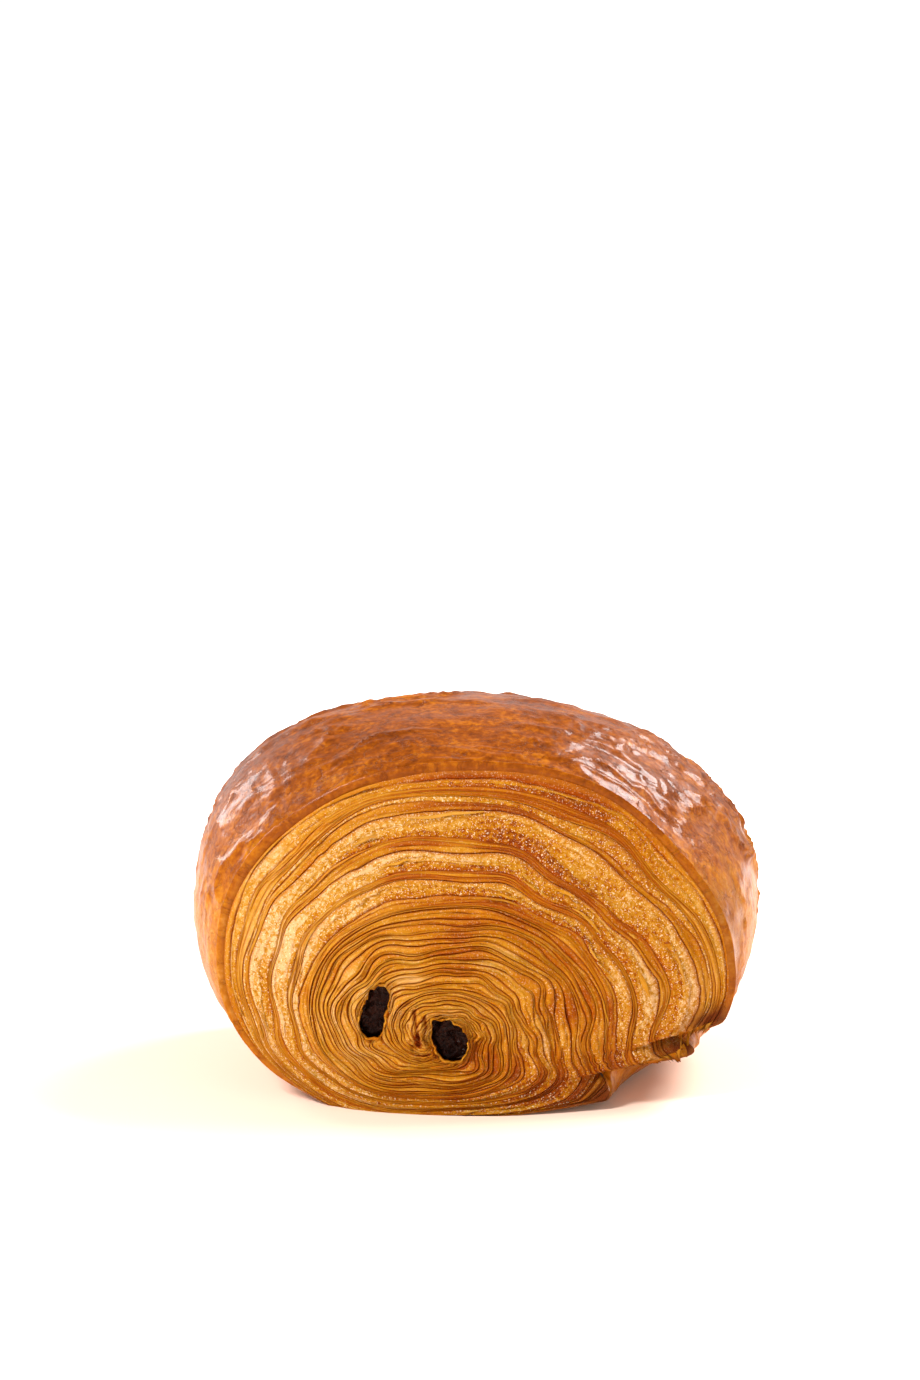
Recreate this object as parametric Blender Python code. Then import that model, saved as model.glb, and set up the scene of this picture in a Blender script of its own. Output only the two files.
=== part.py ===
"""A whole pain au chocolat: laminated dough rolled round two chocolate bars and baked.

The roll lies along Y, its two domed ends show the rolled layers, and its underside is flat on
the table, z = 0. Metres, +Z up, origin under the middle of the pastry. The outlines below are
those of the roll before it settles on the table by SETTLED.
"""

import math

import bmesh
import bpy
from mathutils import Matrix, Vector

MM = 0.001

# The pastry at mid length.
WIDTH = 100 * MM
HEIGHT = 66.3 * MM
WAIST = 31.8 * MM  # height at which it is widest
BELLY = 36 * MM  # how far the rounded underside would reach below the waist, were it not flat
ROUNDNESS = 0.87  # 1 is an ellipse, less is boxier
SETTLED = 0.8 * MM  # its weight has pressed this much of the rounded underside flat
SHOULDERS = {math.radians(38): -0.03, math.radians(135): 0.03}  # how much each stands out
SHOULDER_SPREAD = math.radians(24)

# The edge where the glazed crust ends and the rolled layers begin, at each end.
RIM_WIDTH = 88.4 * MM
RIM_CENTRE = 2.5 * MM  # to the right of the middle of the pastry
RIM_TOP = 57.8 * MM
RIM_WAIST = 25.8 * MM
RIM_BELLY = 28.5 * MM
RIM_SHOULDERS = {math.radians(33): -0.085, math.radians(142): -0.05}
RIM_SHOULDER_SPREAD = math.radians(32)

# The domed ends.
LENGTH = 94 * MM
HEART = Vector((-4.2 * MM, 14.4 * MM))  # x and z of the point that the layers wind round
RIM_SET_BACK = 14 * MM  # how far the rim lies behind the tip of the end, but for its foot
FOOT_AT = math.radians(-92)
FOOT_SPREAD = math.radians(38)
HEART_HALF_WIDTH = 44 * MM  # proportions of the innermost turns, before they meet the outline
HEART_HALF_HEIGHT = 27 * MM

# The rolled sheet of dough, counted in layers.
LAYERS_PER_TURN = 9
SPACING_POWER = 0.8  # below 1, layers are closer together towards the heart
LAYERS_PER_RIDGE = 3
RIDGE_HEIGHT = 1.4 * MM

# The sheet's outer end, bottom right, is cut off in ragged points from the first to the last.
TIP_ANGLES = (math.radians(-22), math.radians(-38), math.radians(-64))
FLAP_LIFT = 3 * MM  # the ragged end has curled up off the table
FLAP_AT = math.radians(-50)
FLAP_SPREAD = math.radians(30)
NOTCH_DEPTH = 0.2  # of the distance from the heart
NOTCH_WIDTH = math.radians(13)
NOTCH_SHARPNESS = 6

# The chocolate bars, which run the whole way through the roll.
BAR_LENGTH = 82 * MM
BAR_GAP = 0.3 * MM
CHANNEL_OVERSHOOT = 12 * MM
BARS = {
    "chocolate_bar_left": {
        "at": (-14.0 * MM, 17.0 * MM),
        "size": (5.0 * MM, 9.6 * MM),
        "tilt": math.radians(14),
    },
    "chocolate_bar_right": {
        "at": (-1.4 * MM, 12.6 * MM),
        "size": (7.0 * MM, 8.0 * MM),
        "tilt": math.radians(-24),
    },
}
BAR_EDGE = 1.6 * MM
BAR_SEGMENTS = 10
BAR_WAVE = 0.35 * MM  # how far a bar has melted out of true

# Mesh density.
COLUMNS = 60
END_ROWS = 33
CRUST_ROWS = 18
COLUMN_CROWDING = 0.35  # columns crowd towards the ragged points


def signed_power(value, power):
    return math.copysign(abs(value) ** power, value)


def smooth_step(value):
    value = min(max(value, 0.0), 1.0)
    return value * value * (3 - 2 * value)


def bump(angle, centre, spread):
    """A smooth hill of height 1 round one angle."""
    away = math.remainder(angle - centre, math.tau)
    return math.exp(-((away / spread) ** 2))


def outline(angle, width, waist, top, belly):
    """A point (x, z) of a cross-section: a rounded dome, cut off flat by the table."""
    reach = top - waist if math.sin(angle) > 0 else belly
    x = width / 2 * signed_power(math.cos(angle), ROUNDNESS)
    z = waist + reach * signed_power(math.sin(angle), ROUNDNESS)
    return Vector((x, max(z, 0.0)))


def shouldered(point, centre, angle, shoulders, spread):
    """A point of an outline, moved in or out where the outline's shoulders are."""
    change = sum(share * bump(angle, at, spread) for at, share in shoulders.items())
    moved = centre + (point - centre) * (1 + change)
    return Vector((moved.x, max(moved.y, 0.0)))


def settled(height):
    return max(height - SETTLED, 0.0)


def middle_outline(angle):
    point = outline(angle, WIDTH, WAIST, HEIGHT, BELLY)
    return shouldered(point, Vector((0, WAIST)), angle, SHOULDERS, SHOULDER_SPREAD)


def notch(angle):
    """How far, from 0 to 1, the rim is cut in between the ragged points."""
    first, last = max(TIP_ANGLES), min(TIP_ANGLES)
    if not last < angle < first:
        return 0.0
    nearest = min(abs(angle - tip) for tip in TIP_ANGLES)
    return smooth_step(nearest / NOTCH_WIDTH)


def whole_rim(angle):
    """The rim, measured from the heart, before the notches are cut in it."""
    point = outline(angle, RIM_WIDTH, RIM_WAIST, RIM_TOP, RIM_BELLY)
    point += Vector((RIM_CENTRE, FLAP_LIFT * bump(angle, FLAP_AT, FLAP_SPREAD)))
    return shouldered(point, HEART, angle, RIM_SHOULDERS, RIM_SHOULDER_SPREAD) - HEART


def towards_rim(share, angle):
    """From the heart towards the rim, with the notches cut in the outermost layers alone."""
    cut = NOTCH_DEPTH * notch(angle) * share**NOTCH_SHARPNESS
    return whole_rim(angle) * (1 - cut)


def rim_outline(angle):
    return HEART + towards_rim(1.0, angle)


def turned(angle):
    """The share of a turn, from 0 to 1, since the sheet's outer end."""
    return ((angle - min(TIP_ANGLES)) % math.tau) / math.tau


def narrowing(angle):
    """The rim's distance from the heart over that of the outermost layer, had it not been cut."""
    if turned(angle) < turned(max(TIP_ANGLES)):
        return whole_rim(angle).length / whole_rim(max(TIP_ANGLES)).length
    return 1.0


def layer_number(share, angle):
    """Layers counted inwards from the crust, at a share of the way from the heart to the rim."""
    turn_shrink = narrowing(min(TIP_ANGLES))
    outermost = LAYERS_PER_TURN / (1 - turn_shrink**SPACING_POWER)
    layers = outermost - LAYERS_PER_TURN * turned(angle)
    return layers * (1 - (narrowing(angle) * share) ** SPACING_POWER)


def end_point(share, angle):
    """(x, outwards, z) on a domed end. Outwards is the distance from the middle of the roll."""
    centred = Vector((
        HEART_HALF_WIDTH * math.cos(angle),
        HEART_HALF_HEIGHT * math.sin(angle),
    ))
    flat = HEART + centred.lerp(towards_rim(share, angle), share) * share
    set_back = RIM_SET_BACK * (1 - bump(angle, FOOT_AT, FOOT_SPREAD))
    ridge = 0.5 + 0.5 * math.cos(math.tau * layer_number(share, angle) / LAYERS_PER_RIDGE)
    fade = smooth_step(share * 5)
    outwards = LENGTH / 2 - set_back * share**2 - RIDGE_HEIGHT * (1 - ridge) * fade
    return flat.x, outwards, settled(flat.y)


def crust_point(along, angle):
    """A point of the glazed crust. Along is 0 at the front rim and 1 at the back rim."""
    _, outwards, _ = end_point(1.0, angle)
    bulge = math.sin(math.pi * along) ** 0.8
    across = rim_outline(angle).lerp(middle_outline(angle), bulge)
    return across.x, outwards * (2 * along - 1), settled(across.y)


def surface_point(row, angle):
    """The pastry's surface, in rows from the heart of the front end to that of the back end."""
    last = 2 * END_ROWS + CRUST_ROWS
    if row <= END_ROWS:
        x, outwards, z = end_point(row / END_ROWS, angle)
        return x, -outwards, z
    if row >= last - END_ROWS:
        return end_point((last - row) / END_ROWS, angle)
    return crust_point((row - END_ROWS) / CRUST_ROWS, angle)


def material(name, colour, roughness):
    made = bpy.data.materials.new(name)
    made.use_nodes = True
    shader = made.node_tree.nodes["Principled BSDF"]
    shader.inputs["Base Color"].default_value = (*colour, 1)
    shader.inputs["Roughness"].default_value = roughness
    shader.inputs["Metallic"].default_value = 0
    return made


def new_object(name, mesh_data, collection, look=None):
    made = bpy.data.meshes.new(name)
    mesh_data.to_mesh(made)
    mesh_data.free()
    obj = bpy.data.objects.new(name, made)
    collection.objects.link(obj)
    if look:
        made.materials.append(look)
        made.shade_smooth()
    return obj


def make_pastry(collection, look):
    """A UV sphere whose poles become the hearts of the two ends."""
    rows = 2 * END_ROWS + CRUST_ROWS
    shape = bmesh.new()
    bmesh.ops.create_uvsphere(shape, u_segments=COLUMNS, v_segments=rows, radius=1)
    crowded_at = sum(TIP_ANGLES) / len(TIP_ANGLES)
    for vertex in shape.verts:
        row = round(math.acos(max(-1.0, min(1.0, vertex.co.z))) / math.pi * rows)
        angle = -math.atan2(vertex.co.y, vertex.co.x)
        angle -= COLUMN_CROWDING * math.sin(angle - crowded_at)
        vertex.co = surface_point(row, math.remainder(angle, math.tau))
    bmesh.ops.recalc_face_normals(shape, faces=shape.faces)
    return new_object("pastry", shape, collection, look)


def bar_shape(size, length, spare, segments):
    """A rounded bar along Y, or with spare, the larger channel that it lies in."""
    shape = bmesh.new()
    bmesh.ops.create_cube(shape, size=1)
    across = Matrix.Diagonal((size[0] + 2 * spare, length, size[1] + 2 * spare, 1))
    bmesh.ops.transform(shape, matrix=across, verts=shape.verts)
    long_edges = [e for e in shape.edges if abs((e.verts[0].co - e.verts[1].co).y) > length / 2]
    bmesh.ops.bevel(shape, geom=long_edges, offset=BAR_EDGE, segments=3, affect="EDGES", profile=0.5)
    for cut in range(1, segments):
        bmesh.ops.bisect_plane(
            shape,
            geom=[*shape.verts, *shape.edges, *shape.faces],
            plane_co=(0, (cut / segments - 0.5) * length, 0),
            plane_no=(0, 1, 0),
        )
    return shape


def melt(shape):
    """Waves along the bar, as of chocolate that has softened and set again."""
    for vertex in shape.verts:
        x, y, z = vertex.co
        wave = math.sin(y * 310 + z * 500) * math.cos(y * 170 - x * 400)
        shrink = 1 - BAR_WAVE * (1 + wave) / (4 * MM)
        vertex.co = (x * shrink, y, z * shrink)


def make_bar(name, bar, collection, cutters, pastry, look):
    placed = Matrix.Translation((bar["at"][0], 0, bar["at"][1])) @ Matrix.Rotation(bar["tilt"], 4, "Y")
    shape = bar_shape(bar["size"], BAR_LENGTH, 0, BAR_SEGMENTS)
    melt(shape)
    made = new_object(name, shape, collection, look)
    made.matrix_world = placed
    channel = bar_shape(bar["size"], LENGTH + CHANNEL_OVERSHOOT, BAR_GAP, 1)
    cutter = new_object(name + "_channel", channel, cutters)
    cutter.matrix_world = placed
    cutter.hide_render = True
    cutter.display_type = "WIRE"
    cut = pastry.modifiers.new("channel for " + name, "BOOLEAN")
    cut.operation = "DIFFERENCE"
    cut.object = cutter


def new_collection(name):
    made = bpy.data.collections.new(name)
    bpy.context.scene.collection.children.link(made)
    return made


def main():
    for obj in list(bpy.data.objects):
        bpy.data.objects.remove(obj)
    parts = new_collection("pain_au_chocolat")
    cutters = new_collection("cutters")
    baked = material("baked_dough", (0.62, 0.31, 0.075), 0.5)
    chocolate = material("dark_chocolate", (0.045, 0.018, 0.012), 0.45)
    pastry = make_pastry(parts, baked)
    for name, bar in BARS.items():
        make_bar(name, bar, parts, cutters, pastry, chocolate)


main()
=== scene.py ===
"""The looks of a whole pain au chocolat: glazed crust, rolled layers at both ends, chocolate bars.

Lengths are in millimetres, angles in radians, until a mesh is made. The roll lies along Y. Each
end is one long ribbon, the sheet of dough seen edge on, wound inwards from its ragged outer end.
"""

from math import atan, cos, pi, radians, sin

import bpy
import numpy as np
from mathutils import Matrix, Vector
from mathutils.bvhtree import BVHTree


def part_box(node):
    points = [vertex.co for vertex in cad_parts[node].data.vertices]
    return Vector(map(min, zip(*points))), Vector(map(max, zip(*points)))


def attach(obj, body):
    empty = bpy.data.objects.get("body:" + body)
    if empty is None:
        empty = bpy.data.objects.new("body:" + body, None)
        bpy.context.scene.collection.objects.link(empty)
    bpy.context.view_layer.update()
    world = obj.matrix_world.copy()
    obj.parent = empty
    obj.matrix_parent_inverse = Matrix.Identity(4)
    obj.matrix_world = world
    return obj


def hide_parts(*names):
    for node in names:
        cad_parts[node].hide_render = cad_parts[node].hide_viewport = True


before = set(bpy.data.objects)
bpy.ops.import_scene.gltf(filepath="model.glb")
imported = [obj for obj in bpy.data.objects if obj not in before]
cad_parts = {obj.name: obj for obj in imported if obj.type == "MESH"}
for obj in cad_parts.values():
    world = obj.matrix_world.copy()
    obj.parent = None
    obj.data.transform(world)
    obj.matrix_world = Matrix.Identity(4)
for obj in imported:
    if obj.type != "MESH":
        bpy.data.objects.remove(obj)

MM = 0.001
TURN = 2 * pi


def node_box(name):
    low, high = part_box(name)
    return np.array(low) / MM, np.array(high) / MM


PASTRY_LOW, PASTRY_HIGH = node_box("pastry")
WIDTH, LENGTH, HEIGHT = PASTRY_HIGH - PASTRY_LOW

# Outlines of the roll before it settles on the table, as in the solid.
SETTLED = 0.8
WAIST = 31.8
BELLY = 36
ROUNDNESS = 0.87
SHOULDERS = {radians(38): -0.03, radians(135): 0.03}
SHOULDER_SPREAD = radians(24)
RIM_WIDTH = 88.4
RIM_CENTRE = 2.5
RIM_TOP = 57.8
RIM_WAIST = 25.8
RIM_BELLY = 28.5
RIM_SHOULDERS = {radians(33): -0.085, radians(142): -0.05}
RIM_SHOULDER_SPREAD = radians(32)
HEART = np.array([-4.2, 14.4])
RIM_SET_BACK = 14
FOOT_AT = radians(-92)
FOOT_SPREAD = radians(38)
HEART_HALF_WIDTH = 44
HEART_HALF_HEIGHT = 27

# The rolled sheet.
LAYERS_PER_TURN = 9
SPACING_POWER = 0.8
LAYERS_PER_RIDGE = 3
TIP_ANGLES = (radians(-22), radians(-38), radians(-64))
FLAP_LIFT = 3
FLAP_AT = radians(-50)
FLAP_SPREAD = radians(30)
NOTCH_DEPTH = 0.2
NOTCH_WIDTH = radians(13)


def signed_power(value, power):
    return np.sign(value) * np.abs(value) ** power


def smooth_step(value):
    value = np.clip(value, 0, 1)
    return value * value * (3 - 2 * value)


def angle_between(angle, centre):
    return (angle - centre + pi) % TURN - pi


def tilted(points, angle):
    """Points (x, z) turned clockwise about 0."""
    c, s = cos(angle), sin(angle)
    x, z = points[..., 0], points[..., 1]
    return np.stack([x * c + z * s, z * c - x * s], -1)


def bell(value, spread):
    """1 where value is 0, less further from there."""
    return np.exp(-((value / spread) ** 2))


def bump(angle, centre, spread):
    return bell(angle_between(angle, centre), spread)


def outline(angle, width, waist, top, belly):
    reach = np.where(np.sin(angle) > 0, top - waist, belly)
    x = width / 2 * signed_power(np.cos(angle), ROUNDNESS)
    z = waist + reach * signed_power(np.sin(angle), ROUNDNESS)
    return np.stack([x, np.maximum(z, 0)], -1)


def shouldered(point, centre, angle, shoulders, spread):
    change = sum(share * bump(angle, at, spread) for at, share in shoulders.items())
    moved = centre + (point - centre) * (1 + change)[..., None]
    moved[..., 1] = np.maximum(moved[..., 1], 0)
    return moved


def middle_outline(angle):
    point = outline(angle, WIDTH, WAIST, HEIGHT + SETTLED, BELLY)
    return shouldered(point, np.array([0, WAIST]), angle, SHOULDERS, SHOULDER_SPREAD)


def settled(points):
    """(x, z) once the roll's weight has pressed its underside flat."""
    x, z = points[..., 0], points[..., 1]
    return np.stack([x, np.maximum(z - SETTLED, 0)], -1)


def notch(angle):
    nearest = np.min([np.abs(angle_between(angle, tip)) for tip in TIP_ANGLES], axis=0)
    inside = (angle_between(angle, min(TIP_ANGLES)) > 0) & (angle_between(angle, max(TIP_ANGLES)) < 0)
    return np.where(inside, smooth_step(nearest / NOTCH_WIDTH), 0)


def whole_rim(angle):
    point = outline(angle, RIM_WIDTH, RIM_WAIST, RIM_TOP, RIM_BELLY)
    lift = FLAP_LIFT * bump(angle, FLAP_AT, FLAP_SPREAD)
    point = point + np.stack([np.full_like(lift, RIM_CENTRE), lift], -1)
    return shouldered(point, HEART, angle, RIM_SHOULDERS, RIM_SHOULDER_SPREAD) - HEART


def rim_share(angle):
    """How much of the way to the whole rim is left where the sheet's ragged end is notched."""
    return 1 - NOTCH_DEPTH * notch(angle)


def rim_blend(share, angle):
    """0 at the heart, 1 at the rim, also where it is notched."""
    limit = rim_share(angle)
    return np.minimum(share + (1 - limit) * (share / limit) ** 8, 1)


def face_plane(share, angle):
    """(x, z) on an end, at a share of the way from the heart to the rim."""
    share = np.asarray(share, float)
    angle = np.asarray(angle, float)
    centred = np.stack([HEART_HALF_WIDTH * np.cos(angle), HEART_HALF_HEIGHT * np.sin(angle)], -1)
    blend = rim_blend(share, angle)[..., None]
    return settled(HEART + (centred * (1 - blend) + whole_rim(angle) * blend) * share[..., None])


def dome_set_back(share, angle):
    """How far the domed end lies behind its tip."""
    return RIM_SET_BACK * (1 - bump(angle, FOOT_AT, FOOT_SPREAD)) * rim_blend(share, angle) ** 2


def rim_distance(angle):
    return np.linalg.norm(whole_rim(np.asarray(angle, float)), axis=-1)


def narrowing(turned):
    wedge = (max(TIP_ANGLES) - min(TIP_ANGLES)) / TURN
    least = rim_distance(min(TIP_ANGLES)) / rim_distance(max(TIP_ANGLES))
    return least ** (1 - smooth_step(turned / wedge))


TURN_SHRINK = float(narrowing(np.array(0.0)))
OUTERMOST = LAYERS_PER_TURN / (1 - TURN_SHRINK**SPACING_POWER)


def share_at(layer, turned):
    """The share of the way to the rim at which a layer lies. It can be past the rim."""
    layers = OUTERMOST - LAYERS_PER_TURN * turned
    left = np.clip(1 - layer / layers, 0, None)
    return left ** (1 / SPACING_POWER) / narrowing(turned)


# Noise
OCTAVES = 3


def lattice(ix, iy, iz, seed):
    value = ix * 374761393 + iy * 668265263 + iz * 1440662683 + seed * 974634777
    value = (value ^ (value >> 13)) & 0xFFFFFFFF
    value = (value * 1274126177) & 0xFFFFFFFF
    return ((value ^ (value >> 16)) & 0xFFFF) / 32767.5 - 1


def noise(x, y, z=0.0, seed=0):
    """Smooth noise from -1 to 1."""
    x, y, z = np.broadcast_arrays(x, y, z)
    ix, iy, iz = (np.floor(v).astype(np.int64) for v in (x, y, z))
    fx, fy, fz = (v - i for v, i in ((x, ix), (y, iy), (z, iz)))
    fx, fy, fz = (f * f * f * (f * (f * 6 - 15) + 10) for f in (fx, fy, fz))
    total = 0.0
    for dx in (0, 1):
        for dy in (0, 1):
            for dz in (0, 1):
                weight = (fx if dx else 1 - fx) * (fy if dy else 1 - fy) * (fz if dz else 1 - fz)
                total = total + weight * lattice(ix + dx, iy + dy, iz + dz, seed)
    return total


def rough_noise(x, y, z=0.0, seed=0):
    total, size = 0.0, 1.0
    for octave in range(OCTAVES):
        total = total + size * noise(x * 2**octave, y * 2**octave, z * 2**octave, seed + octave)
        size /= 2
    return total


def mottled(kind, points, size, z, seed):
    """A kind of noise at points (x, z), as large as size."""
    return kind(points[..., 0] / size, points[..., 1] / size, z, seed)


def along_strand(along, cycles, seed):
    """One smooth random curve for each stratum, about from -1 to 1, along the rolled sheet."""
    draw = np.random.default_rng(seed)
    total = 0.0
    for octave in range(OCTAVES):
        rate = draw.uniform(0.6, 1.4, (len(STRATA), 1)) * cycles * 2**octave
        phase = draw.uniform(0, TURN, (len(STRATA), 1))
        total = total + np.sin(TURN * rate * along[None] + phase) / (1 + octave)
    return total / 1.5


# Strata: what the sheet shows across its thickness, from its outer face to its inner one. Each has a
# kind, a width at the rim and at the heart, how open the crevice outside it is, and how pale it is.
STRATUM_PARTS = ("kind", "rim_width", "heart_width", "openness", "paleness")
KINDS = {
    "puff": {"grain": 1.0, "level": 0.12},
    "skin": {"grain": 0.22, "level": 0.2},
    "smooth": {"grain": 0.35, "level": -0.05},
    "mottled": {"grain": 0.7, "level": 0.02},
}
STRATA = (
    ("smooth", 0.5, 0.3, 1.0, 0.45), ("mottled", 0.36, 0.3, 0.7, 0.62), ("mottled", 0.36, 0.3, 0.12, 0.52),
    ("skin", 0.13, 0.22, 0.8, 0.55), ("skin", 0.12, 0.28, 0.6, 0.4), ("skin", 0.13, 0.25, 0.8, 0.6),
    ("skin", 0.14, 0.3, 0.7, 0.42), ("skin", 0.13, 0.25, 0.7, 0.52), ("puff", 0.4, 0.35, 0.7, 0.7),
    ("smooth", 0.25, 0.3, 0.9, 0.5), ("smooth", 0.25, 0.3, 0.3, 0.44), ("puff", 0.45, 0.35, 1.0, 0.8),
    ("puff", 0.55, 0.3, 0.1, 0.68), ("puff", 0.5, 0.3, 0.08, 0.5), ("skin", 0.14, 0.2, 1.0, 0.42),
    ("smooth", 0.2, 0.3, 0.6, 0.56), ("skin", 0.14, 0.25, 0.9, 0.42), ("smooth", 0.24, 0.3, 0.5, 0.5),
    ("puff", 0.45, 0.3, 1.0, 0.84), ("puff", 0.5, 0.3, 0.1, 0.72), ("puff", 0.5, 0.35, 0.08, 0.52),
    ("skin", 0.12, 0.2, 1.0, 0.44), ("skin", 0.13, 0.25, 0.8, 0.58), ("skin", 0.12, 0.3, 0.8, 0.4),
    ("skin", 0.13, 0.3, 0.8, 0.52), ("puff", 0.6, 0.35, 0.9, 0.76), ("puff", 0.6, 0.3, 0.1, 0.56),
    ("smooth", 0.3, 0.3, 1.0, 0.52), ("smooth", 0.3, 0.3, 0.35, 0.44), ("skin", 0.13, 0.25, 0.8, 0.44),
    ("skin", 0.14, 0.3, 0.8, 0.54),
)
STRATUM_ROWS = 5
CREVICE_SIDE = 0.15
# A stratum narrower than this at the rim is one thin skin.
SKIN_WIDTH = 0.3

# Places along the sheet are in turns from its outer end. From here on, over so much, its layers tighten.
TIGHT_FROM = 0.85
TIGHT_OVER = 0.6
HEART_GRAIN = 0.3
# The sheet's radius at its outer end, and the place where it has shrunk to nothing
SHEET_RADIUS = 40
SHEET_END = 3.6

# How much the strata's widths vary along the sheet, and how often
SKIN_SWING = 0.95
SWING = 0.68
SWING_CYCLES = 2.6
# The layers stand looser on the second turn's right side.
LOOSE_SWING = 0.8
LOOSE_UNTIL = 2.0
LOOSE_AT = radians(-25)
LOOSE_SPREAD = radians(50)
# Three strata swell to one wide band near the sheet's outer end.
WIDE_BAND = (11, 12, 13)
WIDE_BAND_GROWTH = 0.85
WIDE_BAND_AT = 0.2
WIDE_BAND_SPREAD = 0.12
# How far the lines between strata stray, as a share of the narrower one beside each
STRAY = 0.22

# Across a stratum, from its outer crevice to its inner one: how much of its height is its own and not
# the crevice's, how much painted highlight lies on its edge, and how much painted shade darkens it towards
# a crevice
CROWN = (0, 0.82, 1, 1, 0.86, 0)
EDGE_HIGHLIGHT = (0, 1, 0.35, 0, 0, 0)
CREVICE_SHADE = (1, 0.6, 0.1, 0.1, 0.6, 1)

# Parts of an end that are paler or darker: the left side paler with painted light, the top darker with
# painted shade, and the flap darker; angle and spread
LIT_LEFT_SIDE = (radians(168), radians(55))
SHADED_TOP_SIDE = (radians(75), radians(45))
FLAP_SIDE = (radians(-45), radians(28))


def strata(word):
    """One of the strata's numbers, as a column."""
    place = STRATUM_PARTS.index(word)
    return np.array([stratum[place] for stratum in STRATA])[:, None]


def kinds(word):
    """One of the numbers of each stratum's kind, as a column."""
    return np.array([KINDS[stratum[0]][word] for stratum in STRATA])[:, None]


def blended(at_rim, at_heart, heartward):
    return at_rim * (1 - heartward) + at_heart * heartward


# Each bar's half width and height and its tilt, and where its well opens: half its width and height,
# its squareness, and bulges of its edge
BARS = {
    "chocolate_bar_left": {
        "size": np.array([2.4, 4.7]), "tilt": radians(14),
        "half": np.array([2.1, 4.5]), "square": 3.0,
        "bulges": (
            (72, 8, 0.1), (92, 5, -0.11), (104, 5, 0.07), (118, 6, -0.12), (-8, 32, -0.12), (175, 40, 0.12),
            (-72, 10, 0.08),
        ),
    },
    "chocolate_bar_right": {
        "size": np.array([3.4, 3.9]), "tilt": radians(-24),
        "half": np.array([2.9, 3.6]), "square": 2.3,
        "bulges": ((128, 12, 0.24), (75, 14, -0.1), (20, 16, 0.06), (-60, 20, 0.05), (-150, 20, -0.06)),
    },
}
for bar_name, bar in BARS.items():
    bar["at"] = sum(node_box(bar_name))[[0, 2]] / 2


def part_round_bars(points):
    """Opens the layers round each bar, as if it had been pushed in between them."""
    for bar in BARS.values():
        away = tilted(points - bar["at"], -bar["tilt"])
        across = away[..., 0]
        reach = bar["half"][0] * np.exp(-((np.abs(away[..., 1]) / (bar["half"][1] * 1.05)) ** 4))
        pushed = np.sign(across) * np.sqrt(across**2 + reach**2)
        away[..., 0] = across + (pushed - across) * bell(across, 12)
        points = tilted(away, bar["tilt"]) + bar["at"]
        points[..., 1] = np.maximum(points[..., 1], 0)
    return points


def well_reach(turn, bar):
    """Distance from the middle of a bar's well to its edge, in each direction."""
    along = turn + bar["tilt"]
    half, square = bar["half"], bar["square"]
    inverse = np.abs(np.cos(along) / half[0]) ** square + np.abs(np.sin(along) / half[1]) ** square
    change = 0.02 * np.sin(9 * turn) + 0.015 * np.sin(17 * turn + 1)
    for at, spread, size in bar["bulges"]:
        change = change + size * bump(turn, radians(at), radians(spread))
    return inverse ** (-1 / square) * (1 + change)


def well_distance(points, bar):
    """Distance from the edge of a bar's well, less than 0 inside it."""
    away = points - bar["at"]
    return np.linalg.norm(away, axis=-1) - well_reach(np.arctan2(away[..., 1], away[..., 0]), bar)


# Creases at the heart: points (x, z), half width, depth
CREASES = (
    (((-7.3, 17.4), (-7.1, 15.6), (-6.7, 14.4), (-6.8, 13.0)), 0.28, 0.8),
    (((-6.75, 12.9), (-6.6, 11.9)), 0.6, 1.5),
    (((-5.6, 16.4), (-5.3, 14.8), (-5.6, 13.2), (-5.2, 12.0)), 0.26, 0.6),
    (((-8.0, 12.4), (-7.4, 10.9), (-6.2, 10.0), (-4.9, 10.2)), 0.26, 0.6),
)
# A smooth pale hollow between two layers: its middle, half sizes and tilt
HOLLOW_AT = np.array([-8.2, 22.7])
HOLLOW_HALF = np.array([4.3, 1.15])
HOLLOW_TILT = radians(5)


def crease_shape(points):
    """How deep the creases at the heart are at each point."""
    total = np.zeros(points.shape[:-1])
    for line, width, depth in CREASES:
        line = np.array(line)
        nearest = np.full(total.shape, 1e9)
        for start, end in zip(line[:-1], line[1:]):
            run = end - start
            share = np.clip(((points - start) @ run) / (run @ run), 0, 1)
            away = np.linalg.norm(points - (start + share[..., None] * run), axis=-1)
            nearest = np.minimum(nearest, away)
        total += depth * (bell(nearest, width) - 0.25 * bell(nearest - 2.4 * width, width))
    return total


def hollow_share(points):
    """How far inside the pale hollow each point is, up to 1."""
    away = tilted(points - HOLLOW_AT, HOLLOW_TILT) / HOLLOW_HALF
    return smooth_step((1 - np.hypot(away[..., 0], away[..., 1])) * 1.6)


def plain_place(layer, turned, angle):
    """(x, z) of a layer, before it is evened out, crumpled and parted round the bars."""
    wide_angle = np.broadcast_to(angle, layer.shape)
    return face_plane(np.minimum(share_at(layer, turned), rim_share(wide_angle)), wide_angle)


# Places along the sheet, before and after its own, over which a layer's place is evened out
EASING = np.linspace(-0.075, 0.075, 7)
EASING_SPREAD = 0.05


def eased_place(number, turned, layer, share):
    """(x, z) of a layer and its set-back, evened out along its strand where it is well inside the roll."""

    def place(at):
        turn = np.floor(at)
        angle = np.broadcast_to((at - turn) * TURN + min(TIP_ANGLES), layer.shape)
        passed = share_at(layer + (turn - number) * LAYERS_PER_TURN, at - turn)
        passed = np.minimum(passed, rim_share(angle))
        return np.concatenate([face_plane(passed, angle), dome_set_back(passed, angle)[..., None]], -1)

    weights = bell(EASING, EASING_SPREAD)
    near = sum(w * place(np.maximum(number + turned + shift, 0)) for w, shift in zip(weights, EASING))
    inside = smooth_step((0.92 - share) * 3)[..., None]
    plain = place(number + np.minimum(turned, 1 - 1e-9))
    return plain * (1 - inside) + near / weights.sum() * inside


def near_heart(points, reach):
    """1 at the heart, less further away, by the two half sizes in reach."""
    return bell(np.linalg.norm((points - HEART) / reach, axis=-1), 1)


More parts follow.
